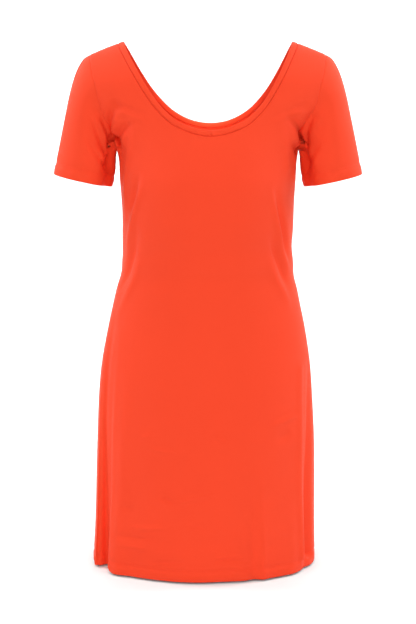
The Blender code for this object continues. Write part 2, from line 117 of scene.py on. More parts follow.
def jersey_finish():
    """The knit's colour, ribs with painted shade in their hollows, fuzz and sheen, on the cloth's own
    lengthwise map.
    """
    finish = Finish("orange_red_jersey")
    calc = finish.calc
    flat = finish.add("ShaderNodeUVMap")
    flat.uv_map = "cloth"
    across, along, _ = finish.add("ShaderNodeSeparateXYZ", Vector=flat.outputs[0]).outputs
    ribs = calc("DIVIDE", across, RIB)
    rows = calc("DIVIDE", along, ROW)
    from_middle = calc("SUBTRACT", calc("FRACT", ribs), 0.5)
    from_rib = calc("MULTIPLY", calc("ABSOLUTE", from_middle), 2.0)
    leg = calc("SINE", calc("MULTIPLY", from_rib, math.pi))
    slant = calc("SUBTRACT", rows, calc("MULTIPLY", from_rib, V_SLANT))
    wave = calc("SINE", calc("MULTIPLY", slant, 2.0 * math.pi))
    stitch = calc("MULTIPLY_ADD", wave, STITCH_SHARE, 1.0 - STITCH_SHARE)
    knit = calc("MULTIPLY", leg, stitch)

    cloudy = finish.noise(CLOUD_SIZE, 3.0)
    mottled = finish.noise(MOTTLE_SIZE, 2.0)
    shade = calc("MULTIPLY_ADD", mottled, MOTTLE_SHARE, -0.1)
    shade = calc("MULTIPLY_ADD", cloudy, CLOUD_SHARE, shade)
    # painted shade: the colour darkens where the knit's relief is low
    shade = calc("ADD", shade, calc("MULTIPLY_ADD", knit, -HOLLOW_SHADE_SHARE, HOLLOW_SHADE_SHARE))
    fuzz = finish.noise(FUZZ_SIZE, 2.0)
    ribbed = finish.add("ShaderNodeBump", Height=knit, Distance=KNIT_DEPTH, Strength=0.8)
    normal = ribbed.outputs[0]
    fuzzy = finish.add("ShaderNodeBump", Height=fuzz, Distance=FUZZ_DEPTH, Strength=0.5, Normal=normal)
    finish.fill(
        finish.shader,
        Base_Color=finish.blend(shade, JERSEY_COLOUR, DARKER_DYE_AND_HOLLOW_SHADE_COLOUR),
        Normal=fuzzy.outputs[0],
        Roughness=0.75,
        Specular_IOR_Level=0.55,
        Specular_Tint=(*GLOSS_COLOUR, 1.0),
        Sheen_Weight=0.04,
        Sheen_Roughness=0.40,
        Sheen_Tint=(*SHEEN_COLOUR, 1.0),
    )
    return finish.material


jersey = jersey_finish()

# ----------------------------------------
# The front and the back: one piece of jersey each, from the shoulders to the hem, filled out as
# when worn. They are sewn together at the shoulders and the sides, and each hem is turned up
# once to the inside. The cloth's shape is an oval section at every height, which rolls over the
# shoulders, with the folds and creases of the drape on it. A place on it is an azimuth, 0 at the
# front and 90 at the wearer's left, and a reach, the way down the cloth from the shoulder seam.
CLOTH = 0.0007  # the jersey's thickness
NECK_HALF_WIDTH = 0.139  # at the neck end of the shoulder seam
SHOULDER_ROLL = 0.070  # height over which the cloth turns down from the shoulder seam
SHOULDER_FALL = 1.17  # how fast the shoulder falls away outwards, per metre
SHOULDER_RISE = 0.0032  # of the neck end of its seam over the origin
UNDERARM_HEIGHT = -0.176
HEM_HEIGHT = -0.882
TURN_UP = 0.020
BINDING_WIDTH = 0.009  # of the strip round the neck, at which the panels' cloth ends

MM = 0.001


def table(kind, units, *rows):
    """A table whose rows give the columns of this kind in these units."""
    return [kind(*(value * one for value, one in zip(row, units))) for row in rows]


Section = namedtuple("Section", "height right left front back power")
SECTIONS = table(
    Section,
    (MM, MM, MM, MM, MM, 1.0),
    (0, 242, 242, 76, 82, 2.2),
    (-35, 233, 233, 80, 84, 2.2),
    (-70, 218, 218, 87, 87, 2.2),
    (-105, 197, 197, 94, 91, 2.2),
    (-140, 170, 170, 102, 94, 2.2),
    (-176, 151, 151, 112, 96, 2.2),
    (-224, 147, 146, 121, 96, 2.2),
    (-284, 144, 143, 119, 93, 2.2),
    (-345, 146.5, 142.5, 110, 88, 2.2),
    (-386, 151, 147, 105, 86, 2.2),
    (-427, 160, 154.5, 103, 88, 2.15),
    (-468, 169, 163.5, 104, 95, 2.1),
    (-530, 180.5, 173.5, 109, 108, 2.1),
    (-594, 187, 179, 114, 118, 2.05),
    (-657, 190, 182.5, 117, 121, 2.05),
    (-740, 193, 184, 120, 122, 2),
    (-820, 196, 185, 124, 123, 2),
    (-882, 199.5, 186, 126, 124, 2),
)

NeckPoint = namedtuple("NeckPoint", "half_width height")
FRONT_NECK = table(
    NeckPoint,
    (MM, MM),
    (NECK_HALF_WIDTH / MM, SHOULDER_RISE / MM),
    (117.5, -40),
    (98.5, -74),
    (78.5, -102),
    (50, -126.5),
    (0, -140),
)
BACK_NECK = table(
    NeckPoint,
    (MM, MM),
    (NECK_HALF_WIDTH / MM, SHOULDER_RISE / MM),
    (117.5, -40),
    (96.5, -74),
    (72, -102),
    (50, -117.5),
    (26, -127.2),
    (0, -130.5),
)
NECK_SKEW = 0.0047  # how far its lowest points lie towards the wearer's left

ArmholePoint = namedtuple("ArmholePoint", "height azimuth")
ARMHOLE = table(
    ArmholePoint,
    (MM, 1.0),
    (0, 75.7),
    (-34, 74.8),
    (-71, 73.7),
    (-104, 74.2),
    (-135, 76.5),
    (-160, 81),
    (UNDERARM_HEIGHT / MM, 90),
)

# A fold runs from one place to another, may bow sideways between them, and dies away over its half
# width; ridges are positive and troughs negative. These tables have its columns in this order, the
# azimuths in degrees and the rest in millimetres, and a bow only where there is one.
FOLD_COLUMNS = "azimuth_1 height_1 depth_1 azimuth_2 height_2 depth_2 half_width bow"
Fold = namedtuple("Fold", FOLD_COLUMNS, defaults=(0.0,))
BODY_UNITS = (1.0, MM, MM, 1.0, MM, MM, MM, MM)
FOLDS = table(
    Fold,
    BODY_UNITS,
    # the deep one down the wearer's right side of the skirt, its ridge and the trough behind it
    (-61, -500, 0, -61.5, -900, 8.5, 14),
    (-70, -480, 0, -72, -900, -7.5, 9),
    # the softer one down the left side
    (66, -600, 0, 60, -900, 3, 14),
    (76, -560, 0, 72, -900, -4.5, 10),
    # shallow waves of the hem, in front and behind
    (12, -760, 0, 12, -900, -3, 30),
    (-20, -740, 0, -20, -900, 2, 35),
    (150, -560, 0, 146, -900, 5.5, 22),
    (163, -600, 0, 161, -900, -4.5, 20),
    (-140, -620, 0, -136, -900, 5, 24),
    (-156, -560, 0, -153, -900, -4, 20),
    # the waist, drawn in a little from the back round the front
    (170, -330, -2, -160, -350, -2, 20),
    (150, -385, -2.5, -150, -375, -3, 18),
    # drag lines from the underarms, in front and behind
    (-79, -120, -3, -73, -165, -3.5, 7),
    (-78, -172, 2.5, -66, -148, 1.5, 8),
    (-80, -186, -3, -64, -158, -1, 6),
    (79, -125, -2.5, 74, -165, -3, 7),
    (79, -182, -2.5, 66, -160, -1, 6),
    (101, -160, -3, 116, -140, -1, 8),
    (-101, -165, -3, -117, -140, -1.5, 8),
)
CREASES = table(
    Fold,
    BODY_UNITS,
    # the V above the wearer's right underarm: the line down the armhole, the leg that meets it
    # from the bust, the pinched cloth between them and the lit folds round them
    (-66.5, -98.5, -1, -77.5, -156, -6, 7.2),
    (-61.5, -132, -1.2, -77, -166, -6, 7.2),
    (-66.5, -118, 2, -73.5, -144, 8.5, 5.6),
    (-66, -126.5, 2.4, -58, -126, 1.2, 4.4),
    (-57, -143, 1.2, -65, -195, 3, 8.5),
    (-65, -103, -3, -51, -117, -1, 4.6),
    (-63, -112, 2.2, -52, -124, 1, 4.6),
    # above the left underarm: the wider hollow along the armhole, the short fold below it with
    # its curled edge, and two drag lines towards the bust
    (61, -121.5, -1, 77.5, -149, -6, 7.2),
    (74, -120, -5, 79, -158, -8, 11),
    (69, -163, -1, 84, -177, -7, 6.2),
    (65, -154, 2, 79, -164, 7, 5.6),
    (68.5, -100, -3, 53, -119.5, -1, 4.8),
    (66, -111, 2.4, 53, -125.5, 1.2, 4.8),
    (57, -142, 1.2, 64.5, -199, 2.8, 9),
    # the same behind
    (118, -122, -1.6, 103, -160, -12, 7.4),
    (112, -150, 1.6, 104, -178, 4, 6.4),
    (121, -112, -2.8, 138, -130, -1, 5),
    (-118, -116, -1.4, -102.5, -158, -12.5, 7.4),
    (-121, -142, -1.6, -104, -169, -10, 6.6),
    (-113, -140, 1.8, -106, -154, 4, 5.2),
    (-120, -106, -2.6, -136, -122, -1, 5),
    # the fall of the cloth below the bust
    (-46, -202, -1.2, -34, -206, -1.2, 17),
    (46, -200, -1.2, 33, -205, -1.2, 17),
    # the edge of the skirt's deep fold on the wearer's right and the line behind it
    (-68.5, -470, 0.6, -66, -874, 3.6, 7),
    (-76.5, -470, -0.6, -74, -880, -4, 8),
    # the long ridge and hollow near the left side seam, and the hem's sharper wave in front
    (71, -535, 2.4, 68, -860, 5, 7, 7),
    (80.5, -530, -1.2, 77, -860, -11.5, 7.8, 8),
    (33, -720, -0.4, 34.5, -885, -4.4, 11),
    (40.5, -720, 0.4, 40, -885, 3.2, 7.5),
    # behind the side seams and on the back of the skirt
    (104, -580, -0.8, 108, -865, -7, 8.5, 3),
    (-104, -600, -0.8, -110, -865, -8, 8.5, -3),
    (125, -520, 0.8, 128, -870, 4.4, 13),
    (-122, -540, 0.8, -121, -870, 4.8, 12),
    (153, -660, -0.4, 154, -880, -4.2, 8),
    (-147, -700, -0.4, -145, -880, -4, 8),
)
# Cloth that is drawn together for a short way only: these die away at both ends as well
WRINKLES = table(
    Fold,
    BODY_UNITS,
    # slack that is drawn from the bust down and out to each side of the waist
    (-52, -206, -4.1, -64, -274, -7.6, 6.8),
    (-47, -218, 4.1, -72, -344, 4.1, 6.2),
    (-54.5, -294, -5.9, -77, -410, -5.4, 8),
    (-54, -342, 3.4, -74, -450, 2.6, 7.8),
    (-66.5, -195, 3.5, -71, -295, 3.2, 7),
    (50.5, -227, -5.9, 74, -356, -8, 6.8, 3),
    (46.5, -224, 4.3, 73, -378, 4.1, 6.4, 6),
    (49, -305, -4.9, 72, -406, -5.9, 7.4),
    (50, -350, 3.8, 69, -432, 4.3, 7.8),
    # the same at the sides of the back, and the slack in the small of the back
    (126, -230, -2.7, 104, -350, -7.3, 7.4),
    (131, -250, 1.9, 108, -385, 5.7, 7),
    (-128, -220, -2.7, -106, -360, -6.8, 7.4),
    (-130, -264, 1.9, -104, -390, 5.7, 7),
    (143, -308, -0.8, 176, -301, -4.9, 9, 5),
    (156, -362, -5.1, 205, -368, -4.1, 8, -5),
    (197, -330, -4.3, 224, -316, -0.8, 8.5, 4),
    (138, -410, -0.8, 170, -416, -3.5, 10, -4),
    (192, -406, -3.5, 226, -400, -0.8, 10, -4),
    (150, -336, 1.1, 186, -335, 3.5, 8, 4),
    # short slack lines across the lower skirt, in front
    (68, -612, 3.1, 47, -627, 1.4, 4.4, 3),
    (62, -640, -2.8, 50, -648, -1.4, 8.8),
    (-51, -645, 2.1, -39, -633, 1, 4),
    (-46, -658, 2.1, -23, -664, 1.4, 4, 2),
    (4, -637, 1.7, 17, -648, 1, 4),
    (-36, -741, -3.1, -26, -750, -1.4, 4),
    (-25, -751, 2.8, 8, -735, 1.4, 4, -3),
    (-60, -766, -2.8, -52, -767, -1.4, 4),
    (-57, -798, 2.8, -28, -793, 1.4, 4.2),
    (-66, -814, -2.2, -33, -811, -1.4, 4.2, 2),
    (-61, -830, 3.1, -42, -831, 1.7, 4),
    (-43, -853, -2.2, -14, -849, -1.4, 4, 1),
    (2, -846, -1.6, 36, -852, -2.4, 4, -2),
    (4, -839, 2.3, 24, -838, 1.7, 4),
    (-17, -786, -2.1, -2, -790, -1, 4.4),
    (19, -806, 1.7, 31, -812, -1.4, 4.4),
    # and behind
    (172, -846, -2.1, 196, -850, -3.7, 4.2, 2),
    (140, -828, 2.8, 160, -830, 1.4, 4.2),
    (205, -812, -3.1, 226, -816, -1.4, 4.2),
    (186, -756, 2.3, 214, -748, 1, 4.2),
    (150, -720, -2.3, 172, -726, -1, 4.4),
)
# These push the cloth straight to the front or back, so that they are deep beside the side seams
PLEATS = table(
    Fold,
    BODY_UNITS,
    # the legs of the V above the right underarm and of the one above the left
    (-66.5, -98.5, -3, -77.5, -152, -15, 6.2),
    (-61.5, -132, -4, -77, -162, -15, 5.8),
    (61, -121.5, -3, 77.5, -149, -15, 6.2),
    (69, -163, -3.5, 84, -177, -9, 6.2),
    # behind them
    (118, -122, -3, 103, -160, -10, 7.4),
    (-118, -116, -3, -102.5, -158, -10, 7.4),
    # the deep fold down the right side of the skirt and the edge that stands behind it
    (-76.5, -430, -0.4, -73.5, -885, -14, 6.8),
    (-83, -460, 0.6, -81, -885, 12, 7),
)
PLEAT_FADE = 0.1  # cosine of the azimuth from which pleats fade towards the side seams
SLACK_DEPTH = 0.00045

# Counts of the steps in the coarsest grid of a panel; each finer one multiplies them
NECK_STEPS = 14  # from the middle to a shoulder seam
SHOULDER_STEPS = 3
ARMHOLE_STEPS = 12
SIDE_STEPS = 40
FINER = (1, 2, 5)
EVENING_ROUNDS = 60
HEM_CROWDING = 0.40  # how much closer the steps round the skirt lie at its sides
EXTRA_ROWS = (0.25, 0.6)  # of the finest grid, in its steps from the top seam
EXTRA_COLUMNS = (0.3, 0.65)  # and from each side seam
LINE_STEPS = 16  # between two of the places that a smooth line goes through
WAY_STEPS = 60  # along a straight way, before it is spaced
SHOULDER_WAY_STEPS = 8
ROUND_STEPS = 12  # from a panel's middle to a place, to measure the girth between them
FALL_ROUNDS = 30  # until a height before the shoulder's fall is found


def hermite(start, start_slope, end, end_slope, share):
    """The cubic that leaves start and reaches end with these slopes."""
    square, cube = share**2, share**3
    return (
        start * (2.0 * cube - 3.0 * square + 1.0)
        + start_slope * (cube - 2.0 * square + share)
        + end * (3.0 * square - 2.0 * cube)
        + end_slope * (cube - square)
    )


def section_at(height):
    """Widths right and left, depths front and back, and power of the oval, at each height."""
    rows = np.array(SECTIONS)
    i = np.clip(np.searchsorted(-rows[:, 0], -height, side="right") - 1, 0, len(rows) - 2)
    before, start, end = rows[np.maximum(i - 1, 0)], rows[i], rows[i + 1]
    after = rows[np.minimum(i + 2, len(rows) - 1)]
    span = (end - start)[..., :1]
    share = np.clip((height[..., None] - start[..., :1]) / span, 0.0, 1.0)
    slope_in = (end - before) / (end - before)[..., :1] * span
    slope_out = (after - start) / (after - start)[..., :1] * span
    return np.moveaxis(hermite(start, slope_in, end, slope_out, share), -1, 0)[1:]


def fold_lift(folds, across, along, across_unit, along_unit=1.0, tapered=False):
    """How far folds lift the cloth at places whose numbers are these many metres a unit."""
    lift = np.zeros_like(across)
    for across_1, along_1, depth_1, across_2, along_2, depth_2, half_width, bow in folds:
        way = (across_2 - across_1) * across_unit, (along_2 - along_1) * along_unit
        here = (across - across_1) * across_unit, (along - along_1) * along_unit
        square = way[0] ** 2 + way[1] ** 2
        share = np.clip((here[0] * way[0] + here[1] * way[1]) / square, 0.0, 1.0)
        bend = bow * 4.0 * share * (1.0 - share) / np.sqrt(square)
        off = here[0] - way[0] * share - way[1] * bend, here[1] - way[1] * share + way[0] * bend
        depth = depth_1 + (depth_2 - depth_1) * share
        if tapered:
            depth = depth * np.sin(np.pi * share)
        lift += depth * np.exp(-(off[0] ** 2 + off[1] ** 2) / half_width**2)
    return lift


def body_fold_lift(folds, azimuth, height, radius, tapered=False):
    """How far folds lift the body's cloth."""
    lift = np.zeros_like(azimuth)
    for fold in folds:
        middle = (fold.azimuth_1 + fold.azimuth_2) / 2.0
        nearest = azimuth + 360.0 * np.round((middle - azimuth) / 360.0)
        lift += fold_lift((fold,), nearest, height, math.radians(1.0) * radius, tapered=tapered)
    return lift


def slack(azimuth, height):
    """The faint wide unevenness of cloth that hangs free."""
    angle = np.radians(azimuth)
    wave = np.sin(3.0 * angle + 9.0 * height + 0.6) + 0.8 * np.sin(5.0 * angle - 14.0 * height + 2.1)
    wave += 0.6 * np.sin(8.0 * angle + 21.0 * height + 4.0) * np.sin(17.0 * height + 1.0)
    return SLACK_DEPTH * wave


def body_points(places):
    """Points of the outside of the body's cloth."""
    azimuth, reach = places[..., 0], places[..., 1]
    turn = reach / SHOULDER_ROLL
    hangs = turn > math.pi / 2
    height = -SHOULDER_ROLL * np.where(hangs, 1.0 + turn - math.pi / 2, 1.0 - np.cos(turn))
    share = np.where(hangs, 1.0, np.sin(turn))
    right, left, front, back, power = section_at(height)
    sine, cosine = np.sin(np.radians(azimuth)), np.cos(np.radians(azimuth))
    across = np.abs(sine / np.where(sine > 0.0, left, right)) ** power
    along = np.abs(cosine / np.where(cosine > 0.0, front, back)) ** power
    radius = (across + along) ** (-1.0 / power)
    forward = body_fold_lift(PLEATS, azimuth, height, radius) * np.clip(cosine / PLEAT_FADE, -1.0, 1.0)
    wrinkled = body_fold_lift(WRINKLES, azimuth, height, radius, tapered=True)
    radius = radius + body_fold_lift(FOLDS + CREASES, azimuth, height, radius) + wrinkled
    radius = radius + slack(azimuth, height)
    x = radius * sine
    fade = np.maximum(0.0, 1.0 - height / UNDERARM_HEIGHT) ** 2
    fall = (SHOULDER_FALL * (x**2 - NECK_HALF_WIDTH**2) - SHOULDER_RISE) * fade
    return np.stack([x, -(radius * cosine + forward) * share, height - fall], -1)


def unit(vectors):
    """The same directions with length one."""
    return vectors / np.linalg.norm(vectors, axis=-1, keepdims=True)


def body_slopes(places):
    """How the cloth's points move for each degree of azimuth and each metre of reach."""
    turn, step = np.array([0.2, 0.0]), np.array([0.0, 0.0005])
    round_it = (body_points(places + turn) - body_points(places - turn)) / (2.0 * turn[0])
    down_it = (body_points(places + step) - body_points(places - step)) / (2.0 * step[1])
    return round_it, down_it


def body_normals(places):
    """The outward directions of the body's cloth."""
    round_it, down_it = body_slopes(places)
    return unit(np.cross(down_it, round_it))


def reach_at(height):
    """The reach at which the cloth has come down to a height."""
    turned = SHOULDER_ROLL * np.arccos(np.clip(1.0 + height / SHOULDER_ROLL, 0.0, 1.0))
    return np.where(height < -SHOULDER_ROLL, SHOULDER_ROLL * (math.pi / 2 - 1.0) - height, turned)


def place_on_body(x, z, front):
    """The place of the body's point that is seen at x and z from straight ahead."""
    height = z
    for _ in range(FALL_ROUNDS):
        fade = max(0.0, 1.0 - height / UNDERARM_HEIGHT) ** 2
        height = min(0.0, z + (SHOULDER_FALL * (x * x - NECK_HALF_WIDTH**2) - SHOULDER_RISE) * fade)
    right, left, ahead, behind, power = section_at(np.array(height))
    width, depth = (left if x > 0.0 else right), (ahead if front else behind)
    y = depth * (1.0 - min(1.0, abs(x) / width) ** power) ** (1.0 / power)
    return np.array([math.degrees(math.atan2(x, y if front else -y)), float(reach_at(height))])


def smooth_line(places):
    """A smooth line through these places, without the first and last, which only guide it."""
    share = np.linspace(0.0, 1.0, LINE_STEPS, endpoint=False)[:, None]
    line = []
    for before, start, end, after in zip(places, places[1:], places[2:], places[3:]):
        first, middle, last = (np.linalg.norm(gap) for gap in (start - before, end - start, after - end))
        slope_in = (end - before) * middle / (first + middle)
        slope_out = (after - start) * middle / (middle + last)
        line.append(hermite(start, slope_in, end, slope_out, share))
    return np.vstack([*line, places[-2][None]])


def straight(start, end, steps=WAY_STEPS):
    """Places on the straight way between two, azimuth and reach changing evenly."""
    return start + (end - start) * np.linspace(0.0, 1.0, steps + 1)[:, None]


def distances(points, axis):
    """The way along each row or column of points from its first point."""
    ways = np.cumsum(np.linalg.norm(np.diff(points, axis=axis), axis=2), axis=axis)
    return np.concatenate([0.0 * np.take(ways, [0], axis=axis), ways], axis=axis)


def spaced(line, count, crowding=0.0):
    """Places at count steps along a line on the body, equal ones or shorter at its ends."""
    lengths = distances(body_points(line)[None], 1)[0]
    share = np.linspace(0.0, 1.0, count + 1)
    share -= crowding * np.sin(2.0 * math.pi * share) / (2.0 * math.pi)
    return np.stack([np.interp(share * lengths[-1], lengths, line[:, k]) for k in (0, 1)], -1)


def moved(places, ways):
    """The places that lie a short way off along the cloth."""
    round_it, down_it = body_slopes(places)
    a, b, c = (round_it * round_it).sum(-1), (round_it * down_it).sum(-1), (down_it * down_it).sum(-1)
    p, q = (round_it * ways).sum(-1), (down_it * ways).sum(-1)
    spread = a * c - b * b
    return places + np.stack([(c * p - b * q) / spread, (a * q - b * p) / spread], -1)


def mirrored(places, front):
    """The same places on the wearer's other side."""
    return np.array([0.0 if front else 360.0, 0.0]) + places * (-1.0, 1.0)


def neck_half(front, count):
    """Places on the neck edge, from its middle to the shoulder seam on the wearer's left."""
    rows = [np.array(row) for row in reversed(FRONT_NECK if front else BACK_NECK)]
    across_middle, straight_on = rows[1] * (-1.0, 1.0), rows[-1] * 2.0 - rows[-2]
    line = smooth_line([across_middle, *rows, straight_on])
    return spaced(np.array([place_on_body(x, z, front) for x, z in line]), count)


def neck_ring(count):
    """Places round the whole neck edge, from the middle of the front by the wearer's left."""
    front, back = neck_half(True, count), neck_half(False, count)
    ring = np.vstack([front, back[-2::-1], mirrored(back[1:], False), mirrored(front[-2:0:-1], True)])
    share = np.maximum(0.0, body_points(ring)[:, 2:] / FRONT_NECK[-1].height)
    return moved(ring, share * (NECK_SKEW, 0.0, 0.0))


def beside_neck(distance, count):
    """Places round the neck at a distance from its edge."""
    ring = neck_ring(count)
    points = body_points(ring)
    along = np.roll(points, -1, 0) - np.roll(points, 1, 0)
    away = unit(np.cross(along, body_normals(ring)))
    middle = np.array([0.0, 0.0, FRONT_NECK[-1].height / 3.0])
    away *= np.where(((points - middle) * away).sum(1, keepdims=True) < 0.0, -1.0, 1.0)
    away[[count, 3 * count], 1] = 0.0
    return moved(ring, away * distance)


def armhole_half(front, count):
    """Places down the armhole on the wearer's left, from the shoulder to the underarm."""
    rows = [(row.azimuth if front else 180.0 - row.azimuth, reach_at(row.height)) for row in ARMHOLE]
    places = [np.array(row) for row in rows]
    over_shoulder = places[1] * (1.0, -1.0)
    past_underarm = np.array([180.0 - places[-2][0], places[-2][1]])
    return spaced(smooth_line([over_shoulder, *places, past_underarm]), count)


def read_off(grid, rows, columns):
    """The grid at these rows and columns, whole ones or between."""
    i = np.clip(rows.astype(int), 0, grid.shape[0] - 2)
    k = np.clip(columns.astype(int), 0, grid.shape[1] - 2)
    down, across = (rows - i)[:, None, None], (columns - k)[None, :, None]
    upper = grid[i][:, k] * (1.0 - across) + grid[i][:, k + 1] * across
    lower = grid[i + 1][:, k] * (1.0 - across) + grid[i + 1][:, k + 1] * across
    return upper * (1.0 - down) + lower * down


def evened_out(grid):
    """The same grid of places, with its inner ones moved so that no step folds or pinches."""
    degree = math.radians(1.0) * SECTIONS[-1].front
    grid = grid * (degree, 1.0)
    for _ in range(EVENING_ROUNDS):
        left, right = grid[1:-1, :-2], grid[1:-1, 2:]
        above, below = grid[:-2, 1:-1], grid[2:, 1:-1]
        across, down = (right - left) / 2.0, (below - above) / 2.0
        twist = (grid[2:, 2:] - grid[2:, :-2] - grid[:-2, 2:] + grid[:-2, :-2]) / 4.0
        a = (down * down).sum(2, keepdims=True)
        b = (across * down).sum(2, keepdims=True)
        c = (across * across).sum(2, keepdims=True)
        grid[1:-1, 1:-1] = (a * (left + right) + c * (above + below) - 2.0 * b * twist) / (2.0 * (a + c))
    return grid / (degree, 1.0)


def panel_edges(front, finer):
    """The places round a panel: its top with the neck edge, its two sides and its turn-up line."""
    count = NECK_STEPS * finer
    ring = beside_neck(BINDING_WIDTH, count)
    edge = np.roll(ring, count if front else -count, 0)[: 2 * count + 1]
    if not front:
        edge = edge[::-1]
    corner = body_points(edge[-1])
    edge[-1] = place_on_body(corner[0], corner[2], front)[0], 0.0
    edge[0] = mirrored(edge[-1], front)
    armhole = armhole_half(front, ARMHOLE_STEPS * finer)
    shoulder = spaced(straight(edge[-1], armhole[0], SHOULDER_WAY_STEPS), SHOULDER_STEPS * finer)
    top = np.vstack([mirrored(shoulder[:0:-1], front), edge, shoulder[1:]])
    foot = np.array([90.0, float(reach_at(HEM_HEIGHT + TURN_UP))])
    own_side = np.vstack([armhole, spaced(straight(armhole[-1], foot), SIDE_STEPS * finer)[1:]])
    bottom = spaced(straight(mirrored(foot, front), foot), len(top) - 1, HEM_CROWDING)
    return top, bottom, mirrored(own_side, front), own_side


def panel_places(front):
    """The rows of places that cover a panel, from its shoulders and neck edge to its turn-up."""
    grid = None
    for finer in FINER:
        top, bottom, other_side, own_side = panel_edges(front, finer)
        rows, columns = len(own_side), len(top)
        v = np.linspace(0.0, 1.0, rows)[:, None, None]
        u = np.linspace(0.0, 1.0, columns)[None, :, None]
        if grid is None:
            between_sides = other_side[:, None] * (1.0 - u) + own_side[:, None] * u
            between_ends = top[None] * (1.0 - v) + bottom[None] * v
            upper, lower = top[0] * (1.0 - u) + top[-1] * u, bottom[0] * (1.0 - u) + bottom[-1] * u
            grid = between_sides + between_ends - (upper * (1.0 - v) + lower * v)
        else:
            old_rows, old_columns = grid.shape[0] - 1, grid.shape[1] - 1
            grid = read_off(grid, np.linspace(0, old_rows, rows), np.linspace(0, old_columns, columns))
        grid[0], grid[-1], grid[:, 0], grid[:, -1] = top, bottom, other_side, own_side
        grid = evened_out(grid)
    return grid


# How the hem's turn-up goes on from the stitched line: height over the hem's edge, and how far in
# from the outside; it rounds the fold and comes up again inside
TurnUpPoint = namedtuple("TurnUpPoint", "height depth")
HEM_LAYERS = 0.0017  # from the outside of the cloth to the inside of the turn-up
TURN_UP_LINE = table(
    TurnUpPoint,
    (MM, 1.0),
    (19.3, 0),
    (18.6, 0),
    (17.6, 0),
    (16, 0),
    (13.5, 0),
    (10.5, 0),
    (7.5, 0),
    (4.8, 0),
    (2.6, 0),
    (1, 0.0001),
    (0.3, 0.0004),
    (0, HEM_LAYERS / 2.0),
    (0.3, HEM_LAYERS - 0.0004),
    (1, HEM_LAYERS - 0.0001),
    (5, HEM_LAYERS),
    (10, HEM_LAYERS),
    (15, HEM_LAYERS),
    (19, HEM_LAYERS - 0.0001),
    (22, HEM_LAYERS),
)
TURN_UP_HEIGHTS, TURN_UP_DEPTHS = np.array(TURN_UP_LINE).T

# Relief beside stitches: sizes, heights over the hem's edge and half widths
STITCH_ROWS = (0.0200, 0.0172)  # twin rows over a hem's edge
STITCH_DITCH, STITCH_DITCH_WIDTH = 0.00075, 0.0012
FULLNESS, FULLNESS_HEIGHT, FULLNESS_WIDTH = 0.00045, 0.0095, 0.0065  # between stitches and edge
RIPPLES_HEIGHT, RIPPLES_WIDTH = 0.0135, 0.0060
INNER_RELIEF = -0.3  # the share that the layer inside a hem takes of it
DITCH_DEPTH = 0.0006  # of a seam, where the cloth turns in to it
NECK_DITCH_DEPTH = 0.0011  # of the one beside the neck binding
DITCH_WIDTH = 0.0014
PUCKER_DISTANCE = 0.0035

# The short waves along stitches: pitches are radians per metre, sway moves a wave to and fro along
# the stitches, and swell is the share by which its size changes
Ripples = namedtuple("Ripples", "size pitch sway sway_pitch swell swell_pitch swell_start")
HEM_RIPPLES = Ripples(0.00040, 262.0, 1.1, 47.0, 0.40, 31.0, 1.0)
SEAM_RIPPLES = Ripples(0.00016, 410.0, 1.3, 71.0, 0.45, 37.0, 0.0)
BINDING_RIPPLES = Ripples(0.00013, 520.0, 1.4, 83.0, 0.50, 29.0, 0.7)


def rippled(along, ripples):
    """How far ripples lift the cloth at a way along the stitches."""
    phase = along * ripples.pitch + ripples.sway * np.sin(along * ripples.sway_pitch)
    swell = ripples.swell * (np.sin(along * ripples.swell_pitch + ripples.swell_start) - 1.0)
    return ripples.size * np.sin(phase) * (1.0 + swell)


def near(distance, half_width):
    """1 at a line, dying away to 0 on both sides of it."""
    return np.exp(-((distance / half_width) ** 2))


def hem_relief(height, along):
    """How far a hem's cloth stands out at a height over its edge: it is drawn in at the stitches
    and full between them and the edge, in short uneven waves.
    """
    relief = FULLNESS * near(height - FULLNESS_HEIGHT, FULLNESS_WIDTH)
    for row in STITCH_ROWS:
        relief = relief - STITCH_DITCH * near(height - row, STITCH_DITCH_WIDTH)
    return relief + rippled(along, HEM_RIPPLES) * near(height - RIPPLES_HEIGHT, RIPPLES_WIDTH)


def seam_relief(distance, along, depth=DITCH_DEPTH):
    """How far the cloth lies beside a seam: it turns down into it, drawn in by the stitches."""
    ditch = -depth * np.exp(-((distance / DITCH_WIDTH) ** 1.5))
    return ditch + rippled(along, SEAM_RIPPLES) * near(distance - PUCKER_DISTANCE, PUCKER_DISTANCE)


def finished(name, shape, material):
    """The object made of a bmesh, in its place."""
    mesh = bpy.data.meshes.new(name)
    shape.to_mesh(mesh)
    shape.free()
    mesh.materials.append(material)
    piece = bpy.data.objects.new(name, mesh)
    bpy.context.scene.collection.objects.link(piece)
    return piece


def closed(grid):
    """The grid of a ring, with its first column again as its last."""
    return np.concatenate([grid, grid[:, :1]], axis=1)


def cloth(name, points, flat, outward, ring=False):
    """A sheet of jersey through rows of points, with its lengthwise map, thick to the inside."""
    rows, columns = points.shape[:2]
    grid = bmesh.new()
    bmesh.ops.create_grid(grid, x_segments=columns - 1, y_segments=rows - 1, size=0.5)
    layer = grid.loops.layers.uv.new("cloth")
    where = {}
    for corner in grid.verts:
        k, i = round((corner.co.x + 0.5) * (columns - 1)), round((0.5 - corner.co.y) * (rows - 1))
        where[corner] = i, k
    for face in grid.faces:
        face.smooth = True
        for loop in face.loops:
            loop[layer].uv = flat[where[loop.vert]]
    for corner, place in where.items():
        corner.co = points[place]
    grid.normal_update()
    grid.faces.ensure_lookup_table()
    probe = grid.faces[len(grid.faces) // 2]
    if probe.normal.dot(Vector(outward[where[probe.verts[0]]])) < 0.0:
        bmesh.ops.reverse_faces(grid, faces=grid.faces)
    if ring:
        bmesh.ops.remove_doubles(grid, verts=grid.verts, dist=1e-6)
    piece = finished(name, grid, jersey)
    solid = piece.modifiers.new("thickness", "SOLIDIFY")
    solid.thickness = CLOTH
    solid.offset = -1.0
    return piece


